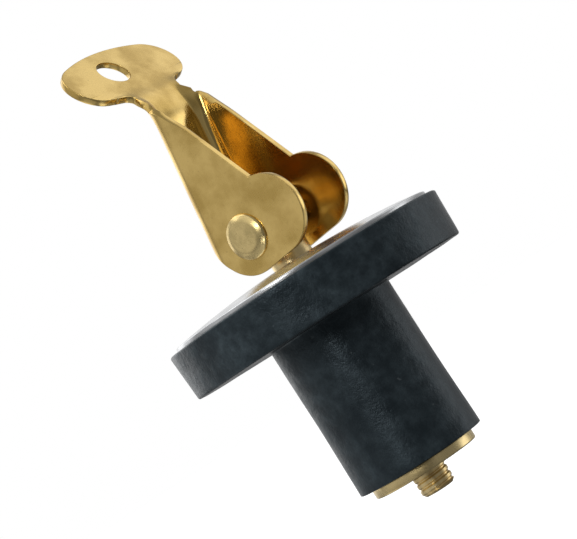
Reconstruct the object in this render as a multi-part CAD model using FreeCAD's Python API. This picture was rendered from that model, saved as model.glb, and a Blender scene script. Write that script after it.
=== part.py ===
# Baitwell plug. A rubber plug stands in a drain bore, and a cam lever on its bolt squeezes it until the
# stem swells and seals. Sizes in millimetres, angles in degrees.
# Origin: centre of the flange's underside. +Z runs up the plug's axis, and the lever's pivot lies along Y.
# The lever stands open as modelled, and closes by turning about +Y, towards +X.
import FreeCAD, Part
import math
import os

from FreeCAD import Rotation, Vector

os.makedirs("parts", exist_ok=True)

# Rubber plug
stem_d = 19.05  # relaxed stem, for a 3/4 in drain
stem_len = 23.1
stem_straight = 12.0  # plain length under the flange
stem_foot_d = 19.4  # the moulding widens a little towards its foot
stem_edge_r = 0.3  # rounding of the stem's foot
flange_d = 43.1  # at the flange's top
flange_foot_d = 42.4  # at its underside, after the moulding draft
flange_t = 6.9
flange_edge_r = 0.3

# Top plate, a stamped shallow dome
plate_d = 40.4
plate_t = 0.6
plate_rise = 1.65  # crown above the rim
plate_edge_r = 0.25

# Bolt with a cross-drilled eye
neck_d = 6.2  # plain neck through the plate
neck_depth = 3.5  # how far the neck reaches down into the flange
shank_d = 5.1  # threaded shank, over its crests
shank_chamfer = 0.4
stub_len = 3.4  # thread showing below the bottom washer
eye_r = 3.9
eye_t = 5.6  # across the eye's flats

# Bottom washer, tapped for the shank
washer_d = 16.0
washer_t = 1.5
washer_edge_r = 0.2

# Pivot rivet
pin_d = 4.0
head_d = 6.6  # flat head on the -Y ear
head_t = 0.9
head_edge_r = 0.25
peen_d = 6.0  # upset end on the +Y ear
peen_t = 0.8
peen_edge_r = 0.5

# Lever, one brass stamping. Its own frame has the pivot at the origin and +Z up the web.
lever_w = 11.7  # over the ears
sheet_t = 1.0
bend_r = 1.6  # inside radius of the two long bends
lean = 10.1  # the open lever stands this far towards +X
web_back = 7.7  # from the pivot to the web's back face
web_foot = -0.4  # the web's lower edge at its back face, from the pivot
heel_r = 5.65  # rounding of the ears' back corner
heel_x = -0.55  # its centre, behind the pivot
heel_z = 0.2
lobe_r = 5.75  # cam lobe
lobe_x = 4.8  # its centre, ahead of the pivot
lobe_z = 1.65  # its centre, above the pivot
throat_x = 4.35  # where the ears' straight front edge meets the lobe
ear_top_x = -5.0  # where that edge ends at the ears' top
ear_top_drop = 0.4  # the ears end this far below the kink
ear_top_r = 0.9
kink_z = 21.2  # where the web's front face would meet the tab's
corner_tie = 0.3  # how far the folded corners reach into the sides of the bent neck

# Neck and thumb tab
tab_angle = 40.5  # the tab leans back from the web
kink_r = 7.5  # inside radius of that bend
neck_w = 9.6
hole_d = 4.9  # lanyard hole
hole_up = 9.3  # from the kink to the hole, along the tab
hole_side = -1.5  # the hole lies this far from the tab's middle
oval_w = 23.1  # thumb oval
oval_h = 10.8
oval_side_r = 29.5  # its long arcs
oval_up = 8.6  # from the kink to the oval's middle
neck_fillet = 2.2

# Clearances
cam_gap = 0.6  # open ears above the plate's crown
rubber_gap = 0.3  # rubber and plate around the bolt
running_gap = 0.05  # turning fits, on the radius

# Places worked out from the sizes
plate_crown = flange_t + plate_rise + plate_t
lean_sin, lean_cos = math.sin(math.radians(lean)), math.cos(math.radians(lean))
lobe_drop = lobe_r - lobe_z * lean_cos + lobe_x * lean_sin
heel_drop = heel_r - heel_z * lean_cos + heel_x * lean_sin
ear_drop = max(heel_drop, lobe_drop)
pin_z = plate_crown + cam_gap + ear_drop
stem_foot = -stem_len
washer_foot = stem_foot - washer_t
stub_foot = washer_foot - stub_len
neck_foot = flange_t - neck_depth
web_front = -web_back + sheet_t
ear_face = lever_w / 2
kink_front_r = kink_r + sheet_t
kink_run = kink_front_r * math.tan(math.radians(tab_angle / 2))


def cylinder(radius, low, high):
    """A round bar on the plug's axis between two heights."""
    return Part.makeCylinder(radius, high - low, Vector(0, 0, low))


def cross_cylinder(radius, low, high, height):
    """A round bar along Y between two places, at a height above the origin."""
    return Part.makeCylinder(radius, high - low, Vector(0, low, height), Vector(0, 1, 0))


def revolved(edges):
    """The solid that a closed outline in the XZ plane sweeps about the plug's axis."""
    face = Part.Face(Part.Wire(edges))
    return face.revolve(Vector(0, 0, 0), Vector(0, 0, 1), 360)


def outline(points):
    """Straight edges through (x, z) points, closed back to the first."""
    corners = [Vector(x, 0, z) for x, z in points]
    return Part.makePolygon(corners + corners[:1]).Edges


def arc(start, through, end):
    """A circular edge through three vectors."""
    return Part.Arc(start, through, end).toShape()


def round_edges_at(shape, height, radius, least_r):
    """Rounds the circular edges that lie at a height and are wider than least_r."""
    chosen = [
        edge
        for edge in shape.Edges
        if isinstance(edge.Curve, Part.Circle)
        and abs(edge.Curve.Center.z - height) < 1e-6
        and edge.Curve.Radius > least_r
        and abs(edge.Curve.Axis.z) > 0.99
    ]
    return shape.makeFillet(radius, chosen)


def make_rubber_plug():
    """Flange and stem in one moulding, with a stepped bore for the bolt's neck and shank."""
    neck_bore = neck_d / 2 + rubber_gap
    shank_bore = shank_d / 2 + rubber_gap
    step = neck_foot - rubber_gap
    body = revolved(
        outline(
            [
                (shank_bore, stem_foot),
                (stem_foot_d / 2, stem_foot),
                (stem_d / 2, -stem_straight),
                (stem_d / 2, 0),
                (flange_foot_d / 2, 0),
                (flange_d / 2, flange_t),
                (neck_bore, flange_t),
                (neck_bore, step),
                (shank_bore, step),
            ]
        )
    )
    body = round_edges_at(body, stem_foot, stem_edge_r, neck_bore)
    body = round_edges_at(body, 0, flange_edge_r, stem_d / 2)
    return round_edges_at(body, flange_t, flange_edge_r, neck_bore)


def dome_height(radius):
    """How far the dome lies above its rim at a distance from the axis."""
    dome_r = (plate_d**2 / 4 + plate_rise**2) / (2 * plate_rise)
    return plate_rise - dome_r + math.sqrt(dome_r**2 - radius**2)


def make_top_plate():
    """Domed sheet of even thickness, with a clearance hole for the bolt's neck."""
    hole_r = neck_d / 2 + rubber_gap
    rim_r = plate_d / 2
    mid_r = (hole_r + rim_r) / 2

    def under(radius):
        return Vector(radius, 0, flange_t + dome_height(radius))

    def over(radius):
        return under(radius) + Vector(0, 0, plate_t)

    plate = revolved(
        [
            arc(under(hole_r), under(mid_r), under(rim_r)),
            Part.makeLine(under(rim_r), over(rim_r)),
            arc(over(rim_r), over(mid_r), over(hole_r)),
            Part.makeLine(over(hole_r), under(hole_r)),
        ]
    )
    return round_edges_at(plate, flange_t + plate_t, plate_edge_r, hole_r)


def make_eye_bolt():
    """Turned bolt: milled eye, thick neck, threaded shank with a chamfered end."""
    neck = cylinder(neck_d / 2, neck_foot, pin_z)
    eye = cross_cylinder(eye_r, -eye_t / 2, eye_t / 2, pin_z)
    milled = Part.makeBox(neck_d, eye_t, eye_r + neck_d, Vector(-neck_d / 2, -eye_t / 2, pin_z - eye_r))
    upper = neck.cut(cylinder(neck_d, pin_z - eye_r, pin_z)).fuse(neck.common(milled)).fuse(eye)
    shank = cylinder(shank_d / 2, stub_foot, neck_foot)
    tip = min(shank.Edges, key=lambda edge: edge.CenterOfMass.z)
    shank = shank.makeChamfer(shank_chamfer, [tip])
    bore = cross_cylinder(pin_d / 2 + running_gap, -eye_t, eye_t, pin_z)
    return upper.fuse(shank).cut(bore).removeSplitter()


def make_bottom_washer():
    """Plain disc tapped for the shank, under the stem's foot."""
    disc = cylinder(washer_d / 2, washer_foot, stem_foot)
    disc = disc.cut(cylinder(shank_d / 2 + running_gap, washer_foot, stem_foot))
    disc = round_edges_at(disc, washer_foot, washer_edge_r, shank_d)
    return round_edges_at(disc, stem_foot, washer_edge_r, shank_d)


def make_pivot_rivet():
    """Shaft through both ears, a flat head on the -Y ear and an upset end on the +Y ear."""
    shaft = cross_cylinder(pin_d / 2, -ear_face, ear_face, pin_z)
    head = cross_cylinder(head_d / 2, -ear_face - head_t, -ear_face, pin_z)
    head = head.makeFillet(head_edge_r, [min(head.Edges, key=lambda edge: edge.CenterOfMass.y)])
    peen = cross_cylinder(peen_d / 2, ear_face, ear_face + peen_t, pin_z)
    peen = peen.makeFillet(peen_edge_r, [max(peen.Edges, key=lambda edge: edge.CenterOfMass.y)])
    return shaft.fuse(head).fuse(peen).removeSplitter()


def on_circle(centre, radius, degrees):
    """The point of a circle in the XZ plane at an angle from +X towards +Z."""
    turn = math.radians(degrees)
    return centre + Vector(radius * math.cos(turn), 0, radius * math.sin(turn))


def ear_outline():
    """Side view of the ears: web side, straight front edge, cam lobe, underside and rounded heel."""
    lobe = Vector(lobe_x, 0, lobe_z)
    heel = Vector(heel_x, 0, heel_z)
    top_back = Vector(-web_back, 0, kink_z - ear_top_drop)
    top_front = Vector(ear_top_x, 0, kink_z - ear_top_drop)
    throat_rise = math.sqrt(lobe_r**2 - (throat_x - lobe_x) ** 2)
    throat = Vector(throat_x, 0, lobe_z + throat_rise)
    throat_angle = math.degrees(math.atan2(throat_rise, throat_x - lobe_x))
    # The underside touches the lobe and the heel at the same angle.
    across = lobe - heel
    under_turn = math.acos((heel_r - lobe_r) / across.Length)
    under_angle = math.degrees(math.atan2(across.z, across.x) - under_turn)
    # The web's lower edge runs from its back corner onto the heel.
    corner = Vector(-web_back, 0, web_foot)
    away = corner - heel
    heel_turn = math.acos(heel_r / away.Length)
    heel_end = math.degrees(math.atan2(away.z, away.x) + heel_turn)
    heel_end -= 360 * math.ceil((heel_end - under_angle) / 360)
    heel_mid = (under_angle + heel_end) / 2
    lobe_mid = (throat_angle + under_angle) / 2
    under_front = on_circle(lobe, lobe_r, under_angle)
    under_back = on_circle(heel, heel_r, under_angle)
    heel_back = on_circle(heel, heel_r, heel_end)
    return [
        Part.makeLine(top_back, top_front),
        Part.makeLine(top_front, throat),
        arc(throat, on_circle(lobe, lobe_r, lobe_mid), under_front),
        Part.makeLine(under_front, under_back),
        arc(under_back, on_circle(heel, heel_r, heel_mid), heel_back),
        Part.makeLine(heel_back, corner),
        Part.makeLine(corner, top_back),
    ]


def upright_block(back, half_width, corner_r):
    """A tall block open ahead of the web, with its two back edges rounded."""
    reach = web_back + lobe_x + 2 * lobe_r
    low = -2 * lobe_r
    block = Part.makeBox(reach, 2 * half_width, kink_z - low, Vector(back, -half_width, low))
    edges = [
        edge
        for edge in block.Edges
        if abs(edge.BoundBox.XMax - back) < 1e-6 and edge.BoundBox.ZLength > 2 * half_width
    ]
    return block.makeFillet(corner_r, edges)


def make_channel():
    """The folded part of the lever: web at the back and an ear on each side."""
    outer = upright_block(-web_back, ear_face, bend_r + sheet_t)
    inner = upright_block(web_front, ear_face - sheet_t, bend_r)
    side = Part.Face(Part.Wire(ear_outline()))
    side.translate(Vector(0, -lever_w, 0))
    profile = side.extrude(Vector(0, 2 * lever_w, 0))
    tips = [
        edge
        for edge in profile.Edges
        if edge.BoundBox.YLength > lever_w
        and abs(edge.CenterOfMass.x - ear_top_x) < 1e-6
        and edge.CenterOfMass.z > web_back
    ]
    profile = profile.makeFillet(ear_top_r, tips)
    # The web ends where the kink begins, and only the ears and their corners run on beside it.
    half = neck_w / 2 - corner_tie
    above_web = Part.makeBox(
        sheet_t + bend_r, 2 * half, lever_w, Vector(-web_back, -half, kink_z - kink_run)
    )
    return outer.cut(inner).common(profile).cut(above_web)


def tab_direction():
    """Unit vector up the tab, from the kink towards the oval."""
    turn = math.radians(tab_angle)
    return Vector(-math.sin(turn), 0, math.cos(turn))


def tab_normal():
    """Unit vector out of the tab's front face."""
    turn = math.radians(tab_angle)
    return Vector(math.cos(turn), 0, math.sin(turn))


def on_kink(radius, degrees):
    """A point of the bend's section at a distance from the bend's centre."""
    return on_circle(Vector(web_front - kink_front_r, 0, kink_z - kink_run), radius, degrees)


def make_bent_strip():
    """Sheet that bends back from the top of the web and runs on straight past the oval."""
    half = tab_angle / 2
    reach = tab_direction() * (oval_up + oval_h)
    front_end, back_end = on_kink(kink_front_r, tab_angle), on_kink(kink_r, tab_angle)
    section = Part.Wire(
        [
            arc(on_kink(kink_front_r, 0), on_kink(kink_front_r, half), front_end),
            Part.makeLine(front_end, front_end + reach),
            Part.makeLine(front_end + reach, back_end + reach),
            Part.makeLine(back_end + reach, back_end),
            arc(back_end, on_kink(kink_r, half), on_kink(kink_r, 0)),
            Part.makeLine(on_kink(kink_r, 0), on_kink(kink_front_r, 0)),
        ]
    )
    face = Part.Face(section)
    face.translate(Vector(0, -oval_w, 0))
    return face.extrude(Vector(0, 2 * oval_w, 0))


def oval_face():
    """Thumb oval in its own plane: X across the lever, Y up the tab, origin at the kink."""
    half_w, half_h = oval_w / 2, oval_h / 2
    # An end arc touches both long arcs from inside and reaches the oval's full width.
    drop = oval_side_r - half_h
    end_r = (oval_side_r**2 - drop**2 - half_w**2) / (2 * (oval_side_r - half_w))
    end_x = half_w - end_r
    touch = math.atan2(drop, end_x)
    middle = Vector(0, oval_up, 0)
    corner = Vector(end_x + end_r * math.cos(touch), end_r * math.sin(touch), 0)

    def mirrored(x_sign, y_sign):
        return middle + Vector(x_sign * corner.x, y_sign * corner.y, 0)

    edges = [
        arc(mirrored(-1, 1), middle + Vector(0, half_h, 0), mirrored(1, 1)),
        arc(mirrored(1, 1), middle + Vector(half_w, 0, 0), mirrored(1, -1)),
        arc(mirrored(1, -1), middle - Vector(0, half_h, 0), mirrored(-1, -1)),
        arc(mirrored(-1, -1), middle - Vector(half_w, 0, 0), mirrored(-1, 1)),
    ]
    return Part.Face(Part.Wire(edges))


def make_tab():
    """Neck and thumb oval with its lanyard hole, cut square to the tab from the bent strip."""
    depth = kink_front_r
    neck = Part.makeBox(neck_w, oval_up + kink_run, depth, Vector(-neck_w / 2, -kink_run, -depth))
    oval = oval_face().extrude(Vector(0, 0, -depth))
    cutter = oval.fuse(neck).removeSplitter()
    corners = [
        edge
        for edge in cutter.Edges
        if edge.BoundBox.ZLength > depth / 2
        and abs(abs(edge.CenterOfMass.x) - neck_w / 2) < 1e-3
        and edge.CenterOfMass.y > 0
    ]
    cutter = cutter.makeFillet(neck_fillet, corners)
    cutter = cutter.cut(Part.makeCylinder(hole_d / 2, 2 * depth, Vector(hole_side, hole_up, -depth)))
    # The plane's X goes to +Y, its Y up the tab and its Z out of the front face.
    turn = Rotation(Vector(0, 1, 0), tab_direction(), tab_normal(), "ZXY")
    corner = Vector(web_front, 0, kink_z) + tab_normal() * sheet_t
    cutter.Placement = FreeCAD.Placement(corner, turn)
    return make_bent_strip().common(cutter)


def make_lever():
    """The whole stamping, leaned to its open pose on the pivot."""
    lever = make_channel().fuse(make_tab()).removeSplitter()
    lever = lever.cut(cross_cylinder(pin_d / 2, -lever_w, lever_w, 0))
    lever.rotate(Vector(0, 0, 0), Vector(0, 1, 0), lean)
    lever.translate(Vector(0, 0, pin_z))
    return lever


nodes = {
    "rubber_plug": make_rubber_plug(),
    "top_plate": make_top_plate(),
    "eye_bolt": make_eye_bolt(),
    "bottom_washer": make_bottom_washer(),
    "pivot_rivet": make_pivot_rivet(),
    "lever": make_lever(),
}

for name, shape in nodes.items():
    shape.exportStep(f"parts/{name}.step")
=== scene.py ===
"""Baitwell plug: a rubber drain plug that a stamped brass cam lever squeezes from above.

Six pieces are made here, one for each solid of the frame: the moulded rubber plug, the domed top
plate, the eye bolt with its thread, the tapped bottom washer, the pivot rivet and the lever.
Sizes are in millimetres while a piece is on the bench, and a finished piece is brought to metres.
The origin is the centre of the flange's underside, +Z runs up the plug and the pivot lies along Y.
"""
import logging
import math
from contextlib import contextmanager
from dataclasses import dataclass
from enum import Enum
from typing import Callable, Iterator, Sequence

import bmesh
import bpy
from mathutils import Matrix, Vector


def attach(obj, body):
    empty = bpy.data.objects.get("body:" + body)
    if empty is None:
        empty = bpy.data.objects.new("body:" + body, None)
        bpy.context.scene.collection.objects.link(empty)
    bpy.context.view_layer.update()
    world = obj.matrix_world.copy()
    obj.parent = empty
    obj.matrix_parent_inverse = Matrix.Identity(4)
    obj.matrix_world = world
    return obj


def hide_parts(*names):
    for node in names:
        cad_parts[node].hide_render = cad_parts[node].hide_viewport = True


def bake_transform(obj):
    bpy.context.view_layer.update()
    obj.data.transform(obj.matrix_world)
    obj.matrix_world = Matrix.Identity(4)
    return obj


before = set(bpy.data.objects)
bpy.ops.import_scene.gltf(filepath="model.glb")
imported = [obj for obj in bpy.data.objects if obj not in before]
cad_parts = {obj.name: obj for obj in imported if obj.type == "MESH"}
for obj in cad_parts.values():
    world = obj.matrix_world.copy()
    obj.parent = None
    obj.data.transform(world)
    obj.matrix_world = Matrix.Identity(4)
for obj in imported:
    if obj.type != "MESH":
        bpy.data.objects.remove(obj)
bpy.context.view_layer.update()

log = logging.getLogger("baitwell_plug")

MM = 0.001
ROUND_STEPS = 128

Pair = tuple[float, float]
Point = tuple[float, float]
Place = tuple[float, float, float]
Corner = tuple[float, float, float]
Arc = tuple[float, float, float]
Colour = tuple[float, float, float]


class Carrier(Enum):
    """The moving bodies that pieces ride on."""

    PLUG = "plug"
    CLAMP = "clamp"
    BOLT = "bolt"
    LEVER = "lever"


class Grain(Enum):
    """How a metal's fine marks run: stretch along X, Y and Z, then scale, detail and roughness."""

    ROLLED = ((5.0, 5.0, 0.35), 1.4, 4, 0.6)
    TURNED = ((0.6, 0.6, 9.0), 1.0, 3, 0.6)
    TUMBLED = ((1.0, 1.0, 1.0), 3.2, 4, 0.65)


class Side(Enum):
    """The lever's two sides, as the sign of Y."""

    NEAR = -1
    FAR = 1


class Axis(Enum):
    """The axes that pieces are turned about and that scribed lines are measured along."""

    Y = (0, 1, 0)
    Z = (0, 0, 1)


def put_down_everything() -> None:
    """Leaves edit mode and selects nothing, because an operator acts on all that is selected."""
    if bpy.context.object is not None and bpy.context.object.mode != "OBJECT":
        bpy.ops.object.mode_set(mode="OBJECT")
    bpy.ops.object.select_all(action="DESELECT")


class Workpiece:
    """A mesh object on the bench, drawn in millimetres."""

    def __init__(self, name: str) -> None:
        """Takes the primitive that was just added.

        Args:
            name: What the piece is called.
        """
        self.body = bpy.context.object
        self.body.name = self.body.data.name = name
        bpy.ops.object.transform_apply(location=True, rotation=True, scale=True)

    def pick_up(self) -> None:
        """Selects this piece alone and makes it the active one."""
        put_down_everything()
        self.body.select_set(True)
        bpy.context.view_layer.objects.active = self.body

    @contextmanager
    def editing(self, mode: str = "VERT", action: str = "DESELECT") -> Iterator[None]:
        """Opens edit mode.

        Args:
            mode: VERT to select points, FACE to select faces.
            action: SELECT to start with everything selected, DESELECT with nothing.
        """
        self.pick_up()
        bpy.ops.object.mode_set(mode="EDIT")
        bpy.ops.mesh.select_mode(type=mode)
        bpy.ops.mesh.select_all(action=action)
        yield
        bpy.ops.object.mode_set(mode="OBJECT")

    def pick(self, wanted: Callable[[Vector], bool], faces: bool = False) -> None:
        """Selects the points or faces that a test of their place accepts.

        Args:
            wanted: Says for a point's place or a face's middle whether it is picked.
            faces: Whether faces are picked.
        """
        mesh = bmesh.from_edit_mesh(self.body.data)
        for part in mesh.faces if faces else mesh.verts:
            part.select_set(wanted(part.calc_center_median() if faces else part.co))
        mesh.select_flush_mode()
        bmesh.update_edit_mesh(self.body.data)

    def move_points(self, moved: Callable[[Vector], Vector]) -> None:
        """Moves every point to where a rule puts it.

        Args:
            moved: Gives a point's new place from its old one.
        """
        with self.editing():
            mesh = bmesh.from_edit_mesh(self.body.data)
            for vert in mesh.verts:
                vert.co = moved(vert.co.copy())
            bmesh.update_edit_mesh(self.body.data)

    def close_seams(self, reach: float = 1e-3) -> None:
        """Merges doubled points and turns all faces outwards.

        Args:
            reach: How near two points have to be, in millimetres.
        """
        with self.editing(action="SELECT"):
            bpy.ops.mesh.remove_doubles(threshold=reach)
            bpy.ops.mesh.normals_make_consistent(inside=False)

    def finish_with(self, kind: str, **settings: object) -> None:
        """Adds a modifier and applies it.

        Args:
            kind: The modifier's type.
            **settings: Its values by name.
        """
        self.pick_up()
        modifier = self.body.modifiers.new(kind.title(), kind)
        for name, value in settings.items():
            setattr(modifier, name, value)
        bpy.ops.object.modifier_apply(modifier=modifier.name)

    def combine(self, other: "Workpiece", operation: str, solver: str = "EXACT") -> None:
        """Cuts, joins or limits this piece by another, which is used up."""
        self.finish_with("BOOLEAN", object=other.body, operation=operation, solver=solver)
        bpy.data.objects.remove(other.body)

    def ease_edges(self, width: float, over: float, steps: int, clamp: bool = True) -> None:
        """Breaks the sharp edges as tumbling does.

        Args:
            width: Width of the rounding, in millimetres.
            over: Edges that turn by more than this many degrees are eased.
            steps: Faces across the rounding.
            clamp: Whether the shortest edges hold the rounding back.
        """
        self.finish_with(
            "BEVEL",
            width=width,
            segments=steps,
            limit_method="ANGLE",
            angle_limit=math.radians(over),
            miter_outer="MITER_SHARP",
            use_clamp_overlap=clamp,
        )

    def scribe(self, axis: Axis, places: Sequence[float], within: Sequence[float]) -> None:
        """Cuts lines across part of a flat blank, so that it can bend along them.

        Args:
            axis: Y for upright lines, Z for level ones.
            places: Where the lines go.
            within: Lowest and highest Y and Z of the faces that are cut.
        """
        low_y, high_y, low_z, high_z = within
        for place in places:
            line = tuple(place * part for part in axis.value)
            with self.editing("FACE"):
                self.pick(lambda mid: low_y < mid.y < high_y and low_z < mid.z < high_z, faces=True)
                bpy.ops.mesh.bisect(plane_co=line, plane_no=axis.value, threshold=1e-4)

    def pierce(self, diameter: float, place: Vector, along: Vector, depth: float) -> None:
        """Pierces a round hole.

        Args:
            diameter: The hole's diameter.
            place: The punch's middle.
            along: The hole's direction.
            depth: The punch's length.
        """
        put_down_everything()
        bpy.ops.mesh.primitive_cylinder_add(
            vertices=72,
            radius=diameter / 2,
            depth=depth,
            location=place,
            rotation=along.to_track_quat("Z", "Y").to_euler(),
        )
        # The fast solver will do, because a punch shares no face with the piece.
        self.combine(Workpiece("punch"), "DIFFERENCE", solver="FAST")

    def hand_over(
        self, slot: str, *nodes: str, finish: "Finish", smooth: float = 35, flat: bool = True
    ) -> bpy.types.Object:
        """Brings the piece to metres, smooths and dresses it, and puts it in its solid's place.

        Args:
            slot: The record's material slot; not used.
            *nodes: The solids that it stands for.
            finish: What it is dressed in.
            smooth: Faces that meet at less than this many degrees are shaded as one.
            flat: Whether large faces are shaded flat up to the rounding at their edges.

        Returns:
            The finished object.
        """
        self.pick_up()
        self.body.scale = (MM, MM, MM)
        bpy.ops.object.transform_apply(location=True, rotation=True, scale=True)
        bpy.ops.object.shade_smooth_by_angle(angle=math.radians(smooth))
        if flat:
            self.finish_with("WEIGHTED_NORMAL", keep_sharp=True, weight=50)
        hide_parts(*nodes)
        self.body.data.materials.clear()
        self.body.data.materials.append(finish.material())
        return self.body


def draw_line(name: str, points: Sequence[Vector], closed: bool = True) -> Workpiece:
    """Draws a line by extruding one point from place to place.

    Args:
        name: What the piece is called.
        points: The places in order.
        closed: Whether the last point is joined to the first.

    Returns:
        The drawn line.
    """
    put_down_everything()
    bpy.ops.mesh.primitive_plane_add(size=0.1, location=points[0])
    line = Workpiece(name)
    with line.editing(action="SELECT"):
        bpy.ops.mesh.merge(type="CENTER")
        for here, there in zip(points, points[1:]):
            bpy.ops.mesh.extrude_vertices_move(TRANSFORM_OT_translate={"value": there - here})
        if closed:
            ends = (points[0], points[-1])
            line.pick(lambda place: min((place - end).length for end in ends) < 1e-5)
            bpy.ops.mesh.edge_face_add()
    return line


def turn(
    name: str, section: Sequence[Point], axis: Axis = Axis.Z, closed: bool = True
) -> Workpiece:
    """Turns a half section about Z or Y.

    Args:
        name: What the piece is called.
        section: Points as radius and place along the axis.
        axis: What it is turned about.
        closed: Whether the section is a ring's, rather than one that starts and ends on the axis.

    Returns:
        The turned piece.
    """
    points = [
        Vector((radius, 0, along) if axis is Axis.Z else (radius, along, 0))
        for radius, along in section
    ]
    piece = draw_line(name, points, closed)
    with piece.editing(action="SELECT"):
        bpy.ops.mesh.spin(steps=ROUND_STEPS, angle=math.tau, center=(0, 0, 0), axis=axis.value)
    piece.close_seams()
    return piece


def eased(corners: Sequence[Corner], steps: int = 5) -> list[Point]:
    """Rounds the corners of a section.

    Args:
        corners: Each corner as radius, height and the rounding it gets.
        steps: Faces along a rounding.

    Returns:
        The section's points.
    """
    count = len(corners)
    drawn: list[Point] = []
    for index, (x, z, rounding) in enumerate(corners):
        if rounding <= 0:
            drawn.append((x, z))
            continue
        corner = Vector((x, z))
        before = (Vector(corners[index - 1][:2]) - corner).normalized()
        after = (Vector(corners[(index + 1) % count][:2]) - corner).normalized()
        half = before.angle(after) / 2
        middle = corner + (before + after).normalized() * (rounding / math.sin(half))
        start = corner + before * (rounding / math.tan(half)) - middle
        end = corner + after * (rounding / math.tan(half)) - middle
        sweep = start.angle_signed(end)
        for step in range(steps + 1):
            spoke = start.copy()
            spoke.rotate(Matrix.Rotation(-sweep * step / steps, 2))
            drawn.append(tuple(middle + spoke))
    return drawn


def arc(
    centre: Point, radius: float, begin: float, end: float, steps: int, first: int = 0
) -> list[Point]:
    """Divides an arc evenly.

    Args:
        centre: The arc's centre.
        radius: Its radius.
        begin: The angle where it begins, in radians.
        end: The angle where it ends.
        steps: How many parts it has.
        first: 1 leaves out the point where it begins.

    Returns:
        The points along it.
    """
    turns = [begin + (end - begin) * step / steps for step in range(first, steps + 1)]
    x, z = centre
    return [(x + radius * math.cos(turned), z + radius * math.sin(turned)) for turned in turns]


def runs(start: float, end: float, parts: int) -> list[float]:
    """Places that divide a run into equal parts, without its two ends."""
    return [start + (end - start) * part / parts for part in range(1, parts)]


def smoothstep(value: float, low: float, high: float) -> float:
    """A soft step from 0 at low to 1 at high."""
    share = min(max((value - low) / (high - low), 0.0), 1.0)
    return share * share * (3 - 2 * share)


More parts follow.
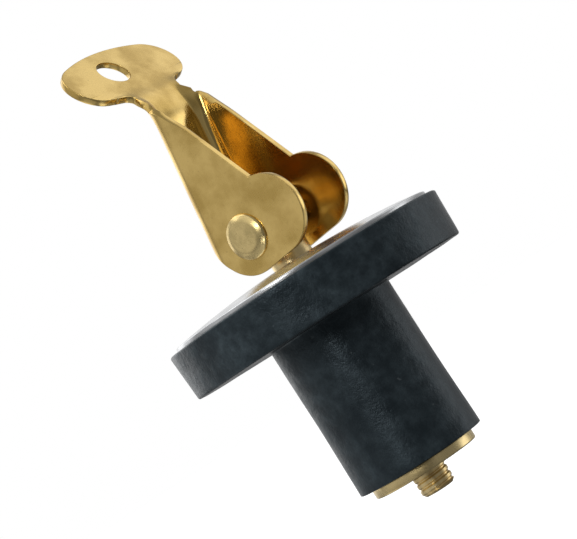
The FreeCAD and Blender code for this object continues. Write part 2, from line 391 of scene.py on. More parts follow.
class Board:
    """Lays out a material's nodes and joins them."""

    def __init__(self, name: str) -> None:
        """Starts a material with one shader.

        Args:
            name: The finish's name.
        """
        self.material = bpy.data.materials.new(name)
        self.material.use_nodes = True
        self.tree = self.material.node_tree
        self.tree.nodes.clear()
        self.shader = self.add("ShaderNodeBsdfPrincipled")
        output = self.add("ShaderNodeOutputMaterial")
        self.join(self.shader.outputs["BSDF"], output.inputs["Surface"])

    def add(self, kind: str, **values: object) -> bpy.types.Node:
        """Adds a node and sets its own values.

        Args:
            kind: The node's type.
            **values: Its values by name.

        Returns:
            The node.
        """
        node = self.tree.nodes.new(kind)
        for name, value in values.items():
            setattr(node, name, value)
        return node

    def join(self, source: bpy.types.NodeSocket, target: bpy.types.NodeSocket) -> None:
        """Joins an output to an input."""
        self.tree.links.new(source, target)

    def dress(self, entry: str, source: bpy.types.NodeSocket) -> None:
        """Joins a pattern to one of the shader's inputs."""
        self.join(source, self.shader.inputs[entry])

    def even(self, **values: object) -> None:
        """Sets inputs of the shader that are the same all over, by name with _ for a space."""
        for name, value in values.items():
            self.shader.inputs[name.replace("_", " ")].default_value = value

    def place(self, stretch: Place = (1, 1, 1), lean: float = 0.0) -> bpy.types.NodeSocket:
        """The object's own coordinates in millimetres.

        Args:
            stretch: How much faster a pattern runs along each axis.
            lean: The pattern's turn about Y, in degrees.

        Returns:
            The coordinates.
        """
        source = self.add("ShaderNodeTexCoord").outputs["Object"]
        turned = self.add("ShaderNodeMapping")
        turned.inputs["Rotation"].default_value = (0, math.radians(-lean), 0)
        self.join(source, turned.inputs["Vector"])
        scaled = self.add("ShaderNodeMapping")
        scaled.inputs["Scale"].default_value = tuple(1 / MM * part for part in stretch)
        self.join(turned.outputs["Vector"], scaled.inputs["Vector"])
        return scaled.outputs["Vector"]

    def noise(
        self, place: bpy.types.NodeSocket, scale: float, detail: float = 3, rough: float = 0.5
    ) -> bpy.types.NodeSocket:
        """A cloud pattern from 0 to 1.

        Args:
            place: The coordinates.
            scale: Clouds per millimetre.
            detail: Finer layers.
            rough: Their strength.

        Returns:
            The pattern.
        """
        cloud = self.add("ShaderNodeTexNoise")
        cloud.inputs["Scale"].default_value = scale
        cloud.inputs["Detail"].default_value = detail
        cloud.inputs["Roughness"].default_value = rough
        self.join(place, cloud.inputs["Vector"])
        return cloud.outputs["Fac"]

    def levels(
        self,
        source: bpy.types.NodeSocket,
        low: float,
        high: float,
        to_low: float = 0,
        to_high: float = 1,
    ) -> bpy.types.NodeSocket:
        """Stretches a pattern between two values and clamps it.

        Args:
            source: The pattern.
            low: Its value that gives to_low.
            high: Its value that gives to_high.
            to_low: The result at low.
            to_high: The result at high.

        Returns:
            The stretched pattern.
        """
        node = self.add("ShaderNodeMapRange", clamp=True)
        ends = {"From Min": low, "From Max": high, "To Min": to_low, "To Max": to_high}
        for name, value in ends.items():
            node.inputs[name].default_value = value
        self.join(source, node.inputs["Value"])
        return node.outputs["Result"]

    def sum(self, operation: str, first: object, second: object) -> bpy.types.NodeSocket:
        """Adds, multiplies or compares two patterns or numbers.

        Args:
            operation: The name of the sum.
            first: A pattern or a number.
            second: A pattern or a number.

        Returns:
            The result.
        """
        node = self.add("ShaderNodeMath", operation=operation)
        for entry, value in zip(node.inputs, (first, second)):
            if isinstance(value, bpy.types.NodeSocket):
                self.join(value, entry)
            else:
                entry.default_value = value
        return node.outputs["Value"]

    def tint(
        self, share: bpy.types.NodeSocket, first: object, second: object
    ) -> bpy.types.NodeSocket:
        """Goes from one colour to another.

        Args:
            share: How much of the second colour shows.
            first: A colour or a pattern of colours.
            second: A colour or a pattern of colours.

        Returns:
            The mixed colour.
        """
        node = self.add("ShaderNodeMix", data_type="RGBA")
        self.join(share, node.inputs[0])
        for entry, value in ((node.inputs[6], first), (node.inputs[7], second)):
            if isinstance(value, bpy.types.NodeSocket):
                self.join(value, entry)
            else:
                entry.default_value = (*value, 1)
        return node.outputs[2]

    def relief(
        self, height: bpy.types.NodeSocket, depth: float, over: object = None
    ) -> bpy.types.NodeSocket:
        """Makes a pattern stand up from the surface.

        Args:
            height: The pattern.
            depth: Its full height in millimetres.
            over: A relief that this one lies on.

        Returns:
            The normals.
        """
        node = self.add("ShaderNodeBump")
        node.inputs["Distance"].default_value = depth * MM
        self.join(height, node.inputs["Height"])
        if over is not None:
            self.join(over, node.inputs["Normal"])
        return node.outputs["Normal"]


@dataclass(frozen=True)
class BrassFinish:
    """Bare brass: fine marks, soft clouds of tarnish and a few small pits.

    Depths are in millimetres. The inside of a channel, up to channel_half from the middle and
    below the heights channel_top, is hardly handled and stays smoother by channel_gloss.
    """

    name: str
    grain: Grain
    bright: Colour = (0.80, 0.57, 0.20)
    dull: Colour = (0.59, 0.40, 0.12)
    pitted: Colour = (0.30, 0.21, 0.08)
    rough: float = 0.21
    lean: float = 0.0
    cloud: float = 0.17
    mark_depth: float = 0.006
    pit_depth: float = 0.004
    wave_depth: float = 0.0
    channel_half: float = 0.0
    channel_top: Pair = (34.5, 36.5)
    channel_gloss: float = 0.07

    def channel(self, board: Board, place: bpy.types.NodeSocket) -> bpy.types.NodeSocket:
        """What the inside of the channel adds to the roughness.

        Args:
            board: The material being laid out.
            place: The coordinates.

        Returns:
            The added roughness, which is negative.
        """
        parts = board.add("ShaderNodeSeparateXYZ")
        board.join(place, parts.inputs["Vector"])
        off_middle = board.sum("ABSOLUTE", parts.outputs["Y"], 0)
        half = self.channel_half
        inside = board.levels(off_middle, half, half + 0.3, -self.channel_gloss, 0)
        below = board.levels(parts.outputs["Z"], *self.channel_top, 1, 0)
        return board.sum("MULTIPLY", inside, below)

    def material(self) -> bpy.types.Material:
        """Builds the finish.

        Returns:
            The material.
        """
        board = Board(self.name)
        place = board.place(lean=self.lean)
        clouds = board.noise(place, self.cloud, 4, 0.55)
        stretch, *layers = self.grain.value
        marks = board.noise(board.place(stretch, self.lean), *layers)
        pits = board.noise(place, 2.6, 2, 0.7)
        waves = board.noise(board.place((1.0, 1.0, 0.35), self.lean), 0.24, 2, 0.4)
        colour = board.tint(board.levels(clouds, 0.42, 0.62), self.bright, self.dull)
        colour = board.tint(board.levels(pits, 0.66, 0.74, 0, 0.35), colour, self.pitted)
        board.dress("Base Color", colour)
        rough = board.sum("ADD", board.levels(marks, 0.3, 0.7, -0.05, 0.07), self.rough)
        rough = board.sum("ADD", rough, board.levels(clouds, 0.35, 0.7, -0.03, 0.07))
        if self.channel_half > 0:
            rough = board.sum("ADD", rough, self.channel(board, place))
        board.dress("Roughness", rough)
        fine = board.relief(marks, self.mark_depth, board.relief(waves, self.wave_depth))
        board.dress("Normal", board.relief(pits, self.pit_depth, fine))
        board.even(Metallic=1.0)
        return board.material


@dataclass(frozen=True)
class PlateFinish:
    """Stamped stainless plate, polished in rings and lightly scratched."""

    name: str
    steel: Colour = (0.66, 0.67, 0.68)
    worn: Colour = (0.50, 0.51, 0.52)
    rough: float = 0.22
    ring_depth: float = 0.004

    def material(self) -> bpy.types.Material:
        """Builds the finish.

        Returns:
            The material.
        """
        board = Board(self.name)
        # Height hardly counts in a place's distance from the middle, so the pattern runs in rings.
        length = board.add("ShaderNodeVectorMath", operation="LENGTH")
        board.join(board.place((1, 1, 0.001)), length.inputs[0])
        noise = board.add("ShaderNodeTexNoise", noise_dimensions="1D")
        noise.inputs["Scale"].default_value = 5.0
        noise.inputs["Detail"].default_value = 4
        board.join(length.outputs["Value"], noise.inputs["W"])
        rings = noise.outputs["Fac"]
        clouds = board.noise(board.place(), 0.25, 4, 0.6)
        colour = board.tint(board.levels(clouds, 0.35, 0.7), self.steel, self.worn)
        board.dress("Base Color", colour)
        rough = board.sum("ADD", board.levels(rings, 0.3, 0.7, -0.04, 0.06), self.rough)
        rough = board.sum("ADD", rough, board.levels(clouds, 0.3, 0.7, -0.03, 0.06))
        board.dress("Roughness", rough)
        board.dress("Normal", board.relief(rings, self.ring_depth))
        board.even(Metallic=1.0)
        return board.material


@dataclass(frozen=True)
class RubberFinish:
    """Moulded neoprene: dull blue-grey black, mottled, with pale dust and a fine grain."""

    name: str
    black: Colour = (0.0085, 0.0135, 0.017)
    bloom: Colour = (0.050, 0.068, 0.078)
    dust: Colour = (0.12, 0.14, 0.15)
    rough: float = 0.35
    cloud_depth: float = 0.26
    scuff_depth: float = 0.03
    grain_depth: float = 0.007

    def material(self) -> bpy.types.Material:
        """Builds the finish.

        Returns:
            The material.
        """
        board = Board(self.name)
        place = board.place()
        clouds = board.noise(place, 0.16, 6, 0.68)
        scuffs = board.noise(place, 0.62, 5, 0.7)
        grain = board.noise(place, 4.0, 3, 0.6)
        specks = board.noise(place, 0.95, 2, 0.5)
        rubbed = board.levels(scuffs, 0.34, 0.68, 0.15, 1.0)
        bloom = board.sum("MULTIPLY", board.levels(clouds, 0.36, 0.66), rubbed)
        colour = board.tint(bloom, self.black, self.bloom)
        colour = board.tint(board.levels(specks, 0.735, 0.80, 0, 0.5), colour, self.dust)
        board.dress("Base Color", colour)
        rough = board.sum("ADD", board.levels(clouds, 0.3, 0.7, -0.06, 0.10), self.rough)
        board.dress("Roughness", rough)
        soft = board.relief(scuffs, self.scuff_depth, board.relief(clouds, self.cloud_depth))
        board.dress("Normal", board.relief(grain, self.grain_depth, soft))
        board.even(Specular_IOR_Level=0.35, Specular_Tint=(0.72, 0.90, 1.0, 1))
        board.even(Sheen_Weight=0.03, Sheen_Roughness=0.5)
        return board.material


Finish = BrassFinish | PlateFinish | RubberFinish


@dataclass
class RubberPlug:
    """Flange and stem in one moulding, with a stepped bore for the bolt."""

    stem_d: float = 19.05
    stem_len: float = 23.1
    stem_straight: float = 12.0
    stem_foot_d: float = 19.4
    flange_d: float = 43.1
    flange_foot_d: float = 42.4
    flange_t: float = 6.9
    neck_bore: float = 6.8
    shank_bore: float = 5.7
    step: float = 3.1
    edge: float = 0.3
    foot_edge: float = 0.12
    root_edge: float = 0.25
    wave_size: float = 6.0
    wave_depth: float = 0.10
    finish: RubberFinish = RubberFinish("moulded_rubber")

    def section(self) -> list[Point]:
        """The half section, with many heights along the stem.

        Returns:
            Points as radius and height.
        """
        foot, top, parts = -self.stem_len, self.flange_t, 10
        stem, stem_foot, shank = self.stem_d / 2, self.stem_foot_d / 2, self.shank_bore / 2
        rim, rim_foot, neck = self.flange_d / 2, self.flange_foot_d / 2, self.neck_bore / 2
        lower = [
            (stem_foot + (self.stem_d - self.stem_foot_d) / 2 * part / (parts - 1), z, 0)
            for part, z in enumerate(runs(foot, -self.stem_straight, parts), 1)
        ]
        upper = [(stem, z, 0) for z in runs(-self.stem_straight, 0, parts)]
        under = [(r, 0, 0) for r in runs(stem, rim_foot, 6)]
        draft = (self.flange_d - self.flange_foot_d) / 2
        wall = [(rim_foot + draft * z / top, z, 0) for z in runs(0, top, 6)]
        over = [(r, top, 0) for r in reversed(runs(neck, rim, 8))]
        bore = [(shank, z, 0) for z in reversed(runs(foot, self.step, 12))]
        return eased(
            [
                (shank, foot, 0),
                (stem_foot, foot, self.foot_edge),
                *lower,
                *upper,
                (stem, 0, self.root_edge),
                *under,
                (rim_foot, 0, self.edge),
                *wall,
                (rim, top, self.edge),
                *over,
                (neck, top, 0),
                (neck, self.step, 0),
                (shank, self.step, 0),
                *bore,
            ]
        )

    def build(self) -> bpy.types.Object:
        """Moulds the plug, with soft waves in its surface.

        Returns:
            The finished object.
        """
        piece = turn("rubber_stem_and_flange", self.section())
        waves = bpy.data.textures.new("moulding_waves", "CLOUDS")
        waves.noise_scale = self.wave_size
        piece.finish_with(
            "DISPLACE",
            texture=waves,
            texture_coords="LOCAL",
            strength=self.wave_depth,
            mid_level=0.5,
        )
        body = piece.hand_over("rubber", "rubber_plug", finish=self.finish, smooth=50, flat=False)
        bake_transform(body)
        return body


@dataclass
class TopPlate:
    """Stamped shallow dome of even thickness with a hole for the bolt's neck."""

    diameter: float = 40.4
    sheet: float = 0.6
    rise: float = 1.65
    seat: float = 6.9
    hole: float = 6.8
    # Rounding of the rim and of the hole's edge, below and above.
    rim_edges: Pair = (0.05, 0.22)
    hole_edges: Pair = (0.1, 0.12)
    finish: PlateFinish = PlateFinish("satin_steel_plate")

    def height(self, radius: float) -> float:
        """How high the dome's underside lies at a distance from the axis."""
        dome = (self.diameter**2 / 4 + self.rise**2) / (2 * self.rise)
        return self.seat + self.rise - dome + math.sqrt(dome**2 - radius**2)

    def build(self) -> bpy.types.Object:
        """Stamps the plate.

        Returns:
            The finished object.
        """
        rim, hole = self.diameter / 2, self.hole / 2
        places = runs(hole, rim, 24)
        under = [(r, self.height(r), 0) for r in places]
        over = [(r, self.height(r) + self.sheet, 0) for r in reversed(places)]
        section = eased(
            [
                (hole, self.height(hole), self.hole_edges[0]),
                *under,
                (rim, self.height(rim), self.rim_edges[0]),
                (rim, self.height(rim) + self.sheet, self.rim_edges[1]),
                *over,
                (hole, self.height(hole) + self.sheet, self.hole_edges[1]),
            ]
        )
        piece = turn("domed_top_plate", section)
        body = piece.hand_over("plate_steel", "top_plate", finish=self.finish)
        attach(body, Carrier.PLUG.value)
        return body


@dataclass
class EyeBolt:
    """Turned brass bolt: milled eye, plain neck and a rolled thread down to its tip."""

    pin_z: float = 15.107
    eye_r: float = 3.9
    eye_t: float = 5.6
    bore: float = 4.1
    neck_d: float = 6.2
    neck_foot: float = 3.4
    shank_d: float = 5.1
    root_d: float = 4.7
    pitch: float = 0.95
    # How far up the pitch the thread's flank begins, and where its crest begins and ends.
    flank: float = 0.12
    crest: Pair = (0.32, 0.74)
    tip: float = -28.0
    chamfer: float = 0.45
    # Rounding of the neck's foot, of the mills that flatten it, and of the eye's bore and rim.
    neck_edge: float = 0.25
    mill_edge: float = 0.4
    bore_edge: float = 0.15
    eye_edge: float = 0.3
    finish: BrassFinish = BrassFinish(
        "turned_brass_bolt",
        Grain.TURNED,
        bright=(0.84, 0.66, 0.34),
        dull=(0.70, 0.53, 0.25),
        rough=0.31,
    )

    def threaded_shank(self) -> Workpiece:
        """Screws one pitch of the thread's section along the shank and cuts both ends square.

        Returns:
            The threaded shank as one closed piece.
        """
        root, crest = self.root_d / 2, self.shank_d / 2
        # The thread starts more than a turn below the tip, so that the cut there meets whole turns.
        low = self.tip - 1.4 * self.pitch
        begin, end = self.crest
        section = [(root, 0), (root, self.flank), (crest, begin), (crest, end), (root, self.pitch)]
        shank = draw_line("thread", [Vector((r, 0, low + z)) for r, z in section], closed=False)
        turns = math.ceil((self.neck_foot - low) / self.pitch) + 1
        shank.finish_with(
            "SCREW",
            axis="Z",
            angle=math.tau,
            screw_offset=self.pitch,
            iterations=turns,
            steps=48,
            render_steps=48,
            use_merge_vertices=True,
            merge_threshold=1e-3,
            use_smooth_shade=False,
        )
        for height, upper in ((self.tip, False), (self.neck_foot + 0.3, True)):
            with shank.editing(action="SELECT"):
                bpy.ops.mesh.bisect(
                    plane_co=(0, 0, height),
                    plane_no=(0, 0, 1),
                    use_fill=True,
                    clear_inner=not upper,
                    clear_outer=upper,
                )
        shank.close_seams()
        # A blank that is pointed at the tip and wider than the crests takes the chamfer off.
        point = [
            (0, self.tip - 1),
            (crest - self.chamfer - 1, self.tip - 1),
            (crest + 0.5, self.tip + self.chamfer + 0.5),
            (crest + 0.5, self.neck_foot + 1),
            (0, self.neck_foot + 1),
        ]
        shank.combine(turn("shank_blank", point, closed=False), "INTERSECT")
        return shank

    def build(self) -> bpy.types.Object:
        """Turns the neck, mills its flats, adds the eye's ring and the thread.

        Returns:
            The finished object.
        """
        neck, half, bore = self.neck_d / 2, self.eye_t / 2, self.bore / 2
        # The neck ends inside the ring, clear of its bore.
        top = self.pin_z - (bore + self.eye_r * math.sqrt(1 - (neck / self.eye_r) ** 2)) / 2
        low = self.neck_foot
        section = eased([(0, low, 0), (neck, low, self.neck_edge), (neck, top, 0), (0, top, 0)])
        bolt = turn("eye_bolt_brass", section, closed=False)
        # Two round-edged mills flatten the neck a little inside the eye's flats.
        mill, inside = 4, 0.05
        for side in Side:
            put_down_everything()
            bpy.ops.mesh.primitive_cube_add(
                size=1,
                location=(0, side.value * (half + (mill / 2 - inside)), self.pin_z),
                scale=(3 * mill, mill, 2 * self.eye_r),
            )
            cutter = Workpiece("mill")
            cutter.ease_edges(self.mill_edge, over=40, steps=4)
            bolt.combine(cutter, "DIFFERENCE")
        rim, inner, outer = self.eye_r, self.bore_edge, self.eye_edge
        ring = [(bore, -half, inner), (rim, -half, outer), (rim, half, outer), (bore, half, inner)]
        eye = turn("eye", eased(ring), Axis.Y)
        eye.move_points(lambda place: place + Vector((0, 0, self.pin_z)))
        bolt.combine(eye, "UNION")
        bolt.combine(self.threaded_shank(), "UNION")
        body = bolt.hand_over("bolt_brass", "eye_bolt", finish=self.finish, smooth=32)
        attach(body, Carrier.BOLT.value)
        return body


@dataclass
class BottomWasher:
    """Tapped brass disc that the bolt draws up against the stem's foot."""

    diameter: float = 16.0
    thickness: float = 1.5
    seat: float = -23.1
    bore: float = 5.2
    # Rounding of the rim, and of the bore's edge below and above.
    edge: float = 0.22
    bore_edges: Pair = (0.2, 0.1)
    finish: BrassFinish = BrassFinish(
        "stamped_brass_washer",
        Grain.TUMBLED,
        bright=(0.82, 0.65, 0.33),
        dull=(0.66, 0.51, 0.24),
        rough=0.26,
    )

    def build(self) -> bpy.types.Object:
        """Stamps the washer.

        Returns:
            The finished object.
        """
        rim, bore, edge = self.diameter / 2, self.bore / 2, self.edge
        low, high = self.seat - self.thickness, self.seat
        below, above = self.bore_edges
        section = [(bore, low, below), (rim, low, edge), (rim, high, edge), (bore, high, above)]
        piece = turn("tapped_bottom_washer", eased(section))
        body = piece.hand_over("washer_brass", "bottom_washer", finish=self.finish)
        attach(body, Carrier.CLAMP.value)
        return body


@dataclass
class PivotRivet:
    """Solid brass rivet through both ears, with a flat head on the near one."""

    pin_z: float = 15.107
    pin_d: float = 4.0
    face: float = 5.85
    head_d: float = 6.6
    head_t: float = 0.9
    peen_d: float = 6.0
    peen_t: float = 0.8
    # How far the head's face falls away half-way out and at its shoulder, and the shoulder itself.
    head_fall: Pair = (0.02, 0.05)
    shoulder: float = 1.0
    shoulder_round: float = 2.0
    head_side: float = 0.32
    # The same falls on the peened end, at its rim and half-way out.
    peen_fall: Pair = (0.12, 0.04)
    # Rounding of both ends, outside and against the ears.
    rim_round: float = 0.45
    ear_edge: float = 0.06
    finish: BrassFinish = BrassFinish(
        "headed_brass_rivet",
        Grain.TUMBLED,
        bright=(0.78, 0.60, 0.27),
        dull=(0.62, 0.48, 0.21),
        rough=0.25,
        cloud=0.4,
    )

    def build(self) -> bpy.types.Object:
        """Turns the rivet and heads both its ends.

        Returns:
            The finished object.
        """
        pin, near, far = self.pin_d / 2, -self.face, self.face
        head, head_top = self.head_d / 2, near - self.head_t
        peen, peen_top = self.peen_d / 2, far + self.peen_t
        section = eased(
            [
                (0, head_top, 0),
                (self.head_d / 4, head_top + self.head_fall[0], 0),
                (head - self.shoulder, head_top + self.head_fall[1], self.shoulder_round),
                (head, near - self.head_side, self.rim_round),
                (head, near, self.ear_edge),
                (pin, near, 0),
                (pin, far, 0),
                (peen, far, self.ear_edge),
                (peen, peen_top - self.peen_fall[0], self.rim_round),
                (self.peen_d / 4, peen_top - self.peen_fall[1], 0),
                (0, peen_top, 0),
            ]
        )
        piece = turn("pivot_rivet_brass", section, Axis.Y, closed=False)
        piece.move_points(lambda place: place + Vector((0, 0, self.pin_z)))
        body = piece.hand_over("rivet_brass", "pivot_rivet", finish=self.finish, smooth=40)
        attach(body, Carrier.LEVER.value)
        return body


@dataclass
class CamLever:
    """One brass stamping: two cam ears, the web between them, a pressed neck and a thumb tab.

    It is made as in a press shop. The flat blank is drawn and scribed, folded and pressed on its
    back face, given its thickness, pierced, tumbled, and leaned to its open pose. The lever's own
    frame has the pivot at the origin and +Z up the web.
    """

    pin_z: float = 15.107
    lean: float = 10.1
    width: float = 11.7
    sheet: float = 1.0
    bend: float = 2.6
    back: float = 7.7
    # The web's lower edge, and how far the curve from it to the heel dips.
    web_foot: float = 1.8
    foot_drop: float = -2.4
    # Heel and cam lobe: centre ahead of and above the pivot, and radius.
    heel: Arc = (-0.55, 0.2, 5.65)
    lobe: Arc = (4.8, 1.65, 5.75)
    # The ears' front edge, from the lobe up to the tip.
    throat_x: float = 4.35
    tip_x: float = -5.0
    tip_z: float = 20.8
    # Where the front edge gets points, as parts of its run, and the tip's rounding from its corner.
    front_parts: tuple[float, ...] = (0.25, 0.5, 0.75, 0.9, 0.95)
    tip_rounding: tuple[Pair, ...] = ((0.5, -0.75), (-0.1, -0.25), (-0.9, -0.05))
    kink_z: float = 21.2
    kink_r: float = 7.5
    tab_angle: float = 40.5
    # The neck on the near and on the far side, and the slot's corner at its foot.
    neck_half: Pair = (4.9, 5.0)
    foot_half: Pair = (5.9, 5.7)
    fillets: Pair = (1.2, 2.2)
    nicks: Pair = (0.0, 0.1)
    corner: float = 0.5
    oval_w: float = 23.1
    oval_h: float = 10.8
    oval_side_r: float = 29.5
    oval_up: float = 8.6
    hole_d: float = 4.9
    hole_up: float = 9.3
    hole_side: float = -1.5
    pin_hole: float = 4.02
    # Heights on the blank between which lines are scribed for the neck's bends.
    grid_low: float = 14.6
    grid_high: float = 26.4
    # How many parts the scribed lines make: levels, the web between the bends, and each bend.
    levels: int = 40
    web_parts: int = 22
    bend_parts: int = 10
    # Points nearer than this would leave slivers in the rounded edge.
    sliver: float = 0.13
    # Heights between which the long bends open, by how much, and where they begin to run out and
    # how far beyond the kink they are gone.
    opening: Pair = (16.0, 21.5)
    opened: float = 0.2
    run_out: float = 19.6
    gone: float = 1.4
    web_bow: float = 0.22
    # Heights where the neck's creases draw together, begin and end.
    drawn_in: Pair = (15.0, 18.5)
    drawn_on: Pair = (20.3, 24.4)
    crease_begin: Pair = (15.5, 19.0)
    crease_end: Pair = (21.0, 25.6)
    crease_slope: float = 0.06
    crease_soft: float = 0.1
    # Distances from the middle line where the creases fade and where the ears stand straight.
    crease_side: Pair = (4.2, 6.4)
    ear_side: Pair = (3.4, 6.2)
    edge: float = 0.12
    finish: BrassFinish = BrassFinish(
        "rolled_brass_lever", Grain.ROLLED, lean=10.1, wave_depth=0.05, channel_half=5.1
    )

    @property
    def fold_start(self) -> float:
        """Where the long bends begin on the blank, from its middle line."""
        return self.width / 2 - self.bend

    @property
    def fold_end(self) -> float:
        """Where the long bends end on the blank."""
        return self.fold_start + self.bend * math.pi / 2

    @property
    def kink_run(self) -> float:
        """How much of the kink lies on each side of its corner."""
        return (self.kink_r + self.sheet) * math.tan(math.radians(self.tab_angle / 2))

    @property
    def kink_start(self) -> float:
        """Height on the blank where the kink begins."""
        return self.kink_z - self.kink_run

    @property
    def kink_end(self) -> float:
        """Height on the blank where the kink ends and the tab begins."""
        return self.kink_start + self.kink_r * math.radians(self.tab_angle)

    def across(self, x: float) -> float:
        """Distance from the blank's middle line of a place on an ear.

        Args:
            x: How far ahead of the pivot the place ends up.

        Returns:
            The distance on the flat blank.
        """
        start = -self.back + self.bend
        if x >= start:
            return self.fold_end + x - start
        return self.fold_start + self.bend * math.acos(min(1.0, 1 - (x + self.back) / self.bend))

    def ear_outline(self) -> list[Point]:
        """The ear's outline from the web's foot round the heel and lobe up to its tip, as x and z.

        Returns:
            The outline's points.
        """
        heel_x, heel_z, heel_r = self.heel
        lobe_x, lobe_z, lobe_r = self.lobe
        # Where the arcs of heel and lobe part from their common tangent, the foot and the throat.
        span = math.hypot(lobe_x - heel_x, lobe_z - heel_z)
        under = math.atan2(lobe_z - heel_z, lobe_x - heel_x) - math.acos((heel_r - lobe_r) / span)
        away_x, away_z = -self.back - heel_x, self.web_foot + self.foot_drop - heel_z
        leave = math.atan2(away_z, away_x) + math.acos(heel_r / math.hypot(away_x, away_z))
        leave -= math.tau * math.ceil((leave - under) / math.tau)
        throat = math.acos((self.throat_x - lobe_x) / lobe_r)
        heel = arc((heel_x, heel_z), heel_r, leave, under, 24)
        lobe = arc((lobe_x, lobe_z), lobe_r, under, throat, 40)
        points = []
        steps = 8
        for part in range(steps):
            far = part / steps
            down, along = 2 * far * (1 - far), far * far
            x = -self.back + (heel[0][0] + self.back) * along
            dip = self.foot_drop * (down + along)
            z = self.web_foot + dip + (heel[0][1] - self.web_foot - self.foot_drop) * along
            points.append((x, z))
        points += heel + lobe
        top_x, top_z = self.tip_x, self.tip_z
        start_x, start_z = points[-1]
        for part in self.front_parts:
            x, z = start_x + (top_x - start_x) * part, start_z + (top_z - start_z) * part
            points.append((x, z))
        return points + [(top_x + ahead, top_z + above) for ahead, above in self.tip_rounding]

    def half_blank(self, side: Side) -> list[Vector]:
        """One side of the flat blank, from the web's foot up to the top of the oval.

        Args:
            side: Which side.

        Returns:
            Places on the blank, from bottom to top.
        """
        which = 0 if side is Side.NEAR else 1
        points = [(self.across(x), z) for x, z in self.ear_outline()]
        # The ear's top runs in to the neck's foot, where the slot ends in a rounded corner.
        inner, top = self.foot_half[which] + self.corner, self.tip_z
        points += [(part, top) for part in runs(points[-1][0], inner, 2)]
        for step in range(6):
            turned = math.pi / 2 * step / 5
            nick = self.nicks[which] * math.sin(2 * turned)
            u = inner - self.corner * math.sin(turned)
            points.append((u, top + self.corner * (1 - math.cos(turned)) - nick))
        # The neck's fillet, and the oval's long and short arcs.
        base = self.kink_end - self.kink_run
        half_w, half_h, side_r = self.oval_w / 2, self.oval_h / 2, self.oval_side_r
        fillet = self.fillets[which]
        fillet_x = self.neck_half[which] + fillet
        arc_z = self.oval_up - half_h + side_r
        fillet_z = arc_z - math.sqrt((side_r + fillet) ** 2 - fillet_x**2)
        stop = math.pi - math.atan2(arc_z - fillet_z, fillet_x)
        begin = math.atan2(fillet_z - arc_z, fillet_x)
        drop = side_r - half_h
        end_r = (side_r**2 - drop**2 - half_w**2) / (2 * (side_r - half_w))
        end_x = half_w - end_r
        touch = math.atan2(drop, end_x)
        middle = base + self.oval_up
        points += arc((fillet_x, base + fillet_z), fillet, math.pi, stop, 12)
        points += arc((0, base + arc_z), side_r, begin, -touch, 8, first=1)
        points += arc((end_x, middle), end_r, -touch, touch, 24, first=1)
        points += arc((0, middle - drop), side_r, touch, math.pi / 2, 8, first=1)
        return [Vector((0, side.value * u, v)) for u, v in points]

    def pressed(self, spot: Vector) -> Vector:
        """Where the press puts a place of the flat blank.

        Args:
            spot: The place on the blank.

        Returns:
            The place on the folded lever's back face.
        """
        u, v = abs(spot.y), spot.z
        # The long bends open a little below the kink and are gone above it.
        open_to = self.opened * smoothstep(v, *self.opening)
        rest = (1 - self.opened) * smoothstep(v, self.run_out, self.kink_end + self.gone)
        fold = 1 - open_to - rest
        turned = min(max((u - self.fold_start) / self.bend, 0), math.pi / 2)
        ahead = self.bend * (1 - math.cos(turned)) + max(u - self.fold_end, 0)
        side = min(u, self.fold_start) + self.bend * math.sin(turned)
        ahead, side = ahead * fold, u + (side - u) * fold
        # The web springs forward between the bends.
        ahead += self.web_bow * fold * max(1 - (u / self.fold_start) ** 2, 0)
        # Two soft creases draw together up the neck, and the sheet outside them stands forward.
        crease = self.fold_start - smoothstep(v, *self.drawn_in) - 2 * smoothstep(v, *self.drawn_on)
        over = u - crease
        lift = self.crease_slope * (over + math.sqrt(over * over + self.crease_soft)) / 2
        held = smoothstep(v, *self.crease_begin) * (1 - smoothstep(v, *self.crease_end))
        ahead += lift * (held * (1 - smoothstep(u, *self.crease_side)))
        # The kink between web and tab leaves the ears upright.
        straight = Vector((-self.back + ahead, 0, v))
        swung = min(max((v - self.kink_start) / self.kink_r, 0), math.radians(self.tab_angle))
        outward = Vector((math.cos(swung), 0, math.sin(swung)))
        upward = Vector((-math.sin(swung), 0, math.cos(swung)))
        centre = Vector((-self.back - self.kink_r, 0, self.kink_start))
        place = centre + outward * (self.kink_r + ahead) + upward * max(v - self.kink_end, 0)
        if v <= self.kink_start:
            place = straight
        upright = smoothstep(u, *self.ear_side) * (1 - smoothstep(v, self.tip_z, self.tip_z + 2))
        place = place.lerp(straight, upright)
        return Vector((place.x, math.copysign(side, spot.y), place.z))

    def fold(self) -> Workpiece:
        """Draws, scribes and presses the blank.

        Returns:
            The lever's back face as an open sheet.
        """
        near, far = self.half_blank(Side.NEAR), self.half_blank(Side.FAR)
        blank = draw_line("stamped_brass_lever", [*reversed(near), *far[:-1]])
        with blank.editing(action="SELECT"):
            bpy.ops.mesh.edge_face_add()
        reach, low, high = self.oval_w, self.grid_low, self.grid_high
        start, end = self.fold_start, self.fold_end
        below = (-reach, reach, -reach, high)
        blank.scribe(Axis.Z, (low, high), (-reach, reach, -reach, 2 * reach))
        blank.scribe(Axis.Z, runs(low, high, self.levels), (-end, end, low, high))
        blank.scribe(Axis.Y, runs(-start, start, self.web_parts), below)
        strips = [start, *runs(start, end, self.bend_parts), end]
        blank.scribe(Axis.Y, [sign * strip for strip in strips for sign in (-1, 1)], below)
        blank.close_seams(self.sliver)
        blank.move_points(self.pressed)
        return blank

    def build(self) -> bpy.types.Object:
        """Makes the whole stamping.

        Returns:
            The finished object.
        """
        lever = self.fold()
        with lever.editing(action="SELECT"):
            bpy.ops.mesh.normals_make_consistent(inside=False)
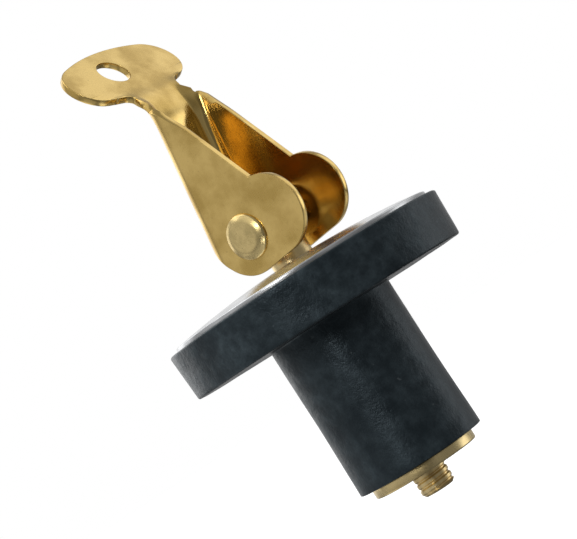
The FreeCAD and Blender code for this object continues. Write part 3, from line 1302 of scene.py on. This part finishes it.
        # The sheet gets its thickness on the side that the web's normal points away from.
        mesh = lever.body.data
        web = min(mesh.polygons, key=lambda face: abs(face.center.y) + abs(face.center.z - 5))
        if web.normal.x > 0:
            mesh.flip_normals()
        lever.finish_with("SOLIDIFY", thickness=self.sheet, offset=-1, use_even_offset=True)
        tilt = math.radians(self.tab_angle)
        up = Vector((-math.sin(tilt), 0, math.cos(tilt)))
        out = Vector((math.cos(tilt), 0, math.sin(tilt)))
        hole = Vector((-self.back + self.sheet, self.hole_side, self.kink_z)) + up * self.hole_up
        lever.pierce(self.hole_d, hole, out, depth=4)
        lever.pierce(self.pin_hole, Vector((0, 0, 0)), Vector((0, 1, 0)), depth=20)
        lever.ease_edges(self.edge, over=55, steps=2, clamp=False)
        swing = Matrix.Rotation(math.radians(self.lean), 3, "Y")
        lever.move_points(lambda place: swing @ place + Vector((0, 0, self.pin_z)))
        body = lever.hand_over("lever_brass", "lever", finish=self.finish, smooth=38)
        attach(body, Carrier.LEVER.value)
        return body


@dataclass(frozen=True)
class Softbox:
    """A large soft light that points at the plug."""

    name: str
    place: Place
    size: float
    power: float

    def hang(self, aim: Vector) -> None:
        """Hangs the light and points it.

        Args:
            aim: What it points at.
        """
        light = bpy.data.lights.new(self.name, "AREA")
        light.shape, light.size, light.energy = "SQUARE", self.size, self.power
        holder = bpy.data.objects.new(self.name, light)
        holder.location = self.place
        holder.rotation_euler = (aim - Vector(self.place)).to_track_quat("-Z", "Y").to_euler()
        holder.visible_camera = False
        bpy.context.scene.collection.objects.link(holder)


@dataclass(frozen=True)
class Panel:
    """One panel of the light tent round the plug, brighter or darker than the rest.

    It has its full strength within inner degrees of its direction and is gone beyond outer.
    """

    towards: Place
    inner: float
    outer: float
    strength: float


@dataclass
class Studio:
    """Pale floor, soft light and the camera at the photograph's viewing angle."""

    aim: Place = (-0.000774, -0.00104111, 0.00849498)
    stand: Place = (0.18983477, -0.24557935, -0.00410847)
    roll: float = -32.6940619
    focus: float = 2258.43
    frame_w: float = 577.0
    floor_z: float = -0.060
    boxes: tuple[Softbox, ...] = (
        Softbox("top_softbox", (-0.25, -0.10, 0.60), 0.50, 1.3),
        Softbox("left_softbox", (-0.60, 0.10, 0.20), 0.45, 0.50),
        Softbox("front_lamp", (0.18, -0.56, 0.155), 0.12, 0.65),
    )
    base: float = 0.37
    panels: tuple[Panel, ...] = (
        Panel((0, 0, -1), 60, 90, 0.14),
        Panel((-0.70, 0.63, 0.30), 17, 40, 0.96),
        Panel((0.40, 0.79, 0.45), 12, 27, 1.10),
        Panel((0.59, 0.79, -0.17), 9, 20, 1.5),
        Panel((0.02, -0.74, 0.67), 14, 30, 0.90),
        Panel((-0.60, -0.74, 0.30), 20, 32, 0.57),
        Panel((-0.19, -0.70, -0.70), 14, 30, 0.40),
        Panel((-0.72, -0.35, -0.60), 14, 30, 0.95),
        Panel((0.93, 0.05, -0.10), 16, 34, 0.20),
        Panel((0.61, -0.79, -0.04), 12, 34, 0.12),
    )

    def set_camera(self) -> None:
        """Places the camera, rolled as the photograph is."""
        sensor = 36.0
        lens = bpy.data.cameras.new("photo_camera")
        lens.sensor_fit, lens.sensor_width = "HORIZONTAL", sensor
        lens.lens = self.focus * sensor / self.frame_w
        lens.clip_start, lens.clip_end = 0.01, 20
        camera = bpy.data.objects.new("photo_camera", lens)
        view = (Vector(self.aim) - Vector(self.stand)).normalized()
        level = view.to_track_quat("-Z", "Y").to_matrix()
        camera.matrix_world = Matrix.Translation(self.stand) @ (
            level @ Matrix.Rotation(math.radians(self.roll), 3, "Z")
        ).to_4x4()
        bpy.context.scene.collection.objects.link(camera)
        bpy.context.scene.camera = camera

    def lay_floor(self) -> None:
        """Lays a wide pale floor under the plug."""
        put_down_everything()
        bpy.ops.mesh.primitive_circle_add(
            vertices=96, radius=4.0, fill_type="NGON", location=(0, 0, self.floor_z)
        )
        floor = bpy.context.object
        floor.name = "studio_floor"
        board = Board("pale_floor")
        clouds = board.noise(board.place(), 0.004, 2)
        board.dress("Base Color", board.tint(clouds, (0.90, 0.90, 0.90), (0.93, 0.93, 0.93)))
        board.even(Roughness=0.9, Specular_IOR_Level=0.1)
        board.even(Emission_Color=(1, 1, 1, 1), Emission_Strength=0.65)
        floor.data.materials.append(board.material)
        floor.visible_glossy = floor.visible_diffuse = False

    def light(self) -> None:
        """Puts up a white tent that lights the plug panel by panel, and hangs the boxes."""
        world = bpy.data.worlds.new("light_tent")
        world.use_nodes = True
        tree = world.node_tree
        tree.nodes.clear()
        add, join = tree.nodes.new, tree.links.new
        coords = add("ShaderNodeTexCoord")
        level = add("ShaderNodeValue")
        level.outputs[0].default_value = self.base
        strength = level.outputs[0]
        for panel in self.panels:
            facing = add("ShaderNodeVectorMath")
            facing.operation = "DOT_PRODUCT"
            facing.inputs[1].default_value = Vector(panel.towards).normalized()
            join(coords.outputs["Generated"], facing.inputs[0])
            share = add("ShaderNodeMapRange")
            share.interpolation_type = "SMOOTHSTEP"
            for name, angle in (("From Min", panel.outer), ("From Max", panel.inner)):
                share.inputs[name].default_value = math.cos(math.radians(angle))
            join(facing.outputs["Value"], share.inputs["Value"])
            mixed = add("ShaderNodeMix")
            mixed.inputs[3].default_value = panel.strength
            join(share.outputs["Result"], mixed.inputs[0])
            join(strength, mixed.inputs[2])
            strength = mixed.outputs[0]
        # The camera sees plain white, and the plug sees the panels.
        seen, lit = add("ShaderNodeBackground"), add("ShaderNodeBackground")
        for background in (seen, lit):
            background.inputs["Color"].default_value = (1, 1, 1, 1)
        join(strength, lit.inputs["Strength"])
        either = add("ShaderNodeMixShader")
        join(add("ShaderNodeLightPath").outputs["Is Camera Ray"], either.inputs["Fac"])
        join(lit.outputs["Background"], either.inputs[1])
        join(seen.outputs["Background"], either.inputs[2])
        join(either.outputs["Shader"], add("ShaderNodeOutputWorld").inputs["Surface"])
        bpy.context.scene.world = world
        for box in self.boxes:
            box.hang(Vector(self.aim))

    def build(self) -> None:
        """Sets the camera, the floor and the light."""
        self.set_camera()
        self.lay_floor()
        self.light()
        bpy.context.scene.view_settings.view_transform = "Standard"


def main() -> None:
    """Builds the studio and the plug's six pieces, and reports each piece."""
    logging.basicConfig(level=logging.INFO, format="%(name)s: %(message)s")
    Studio().build()
    for maker in (RubberPlug(), TopPlate(), EyeBolt(), BottomWasher(), PivotRivet(), CamLever()):
        piece = maker.build()
        log.info("%s: %d faces", piece.name, len(piece.data.polygons))


if __name__ == "__main__":
    main()
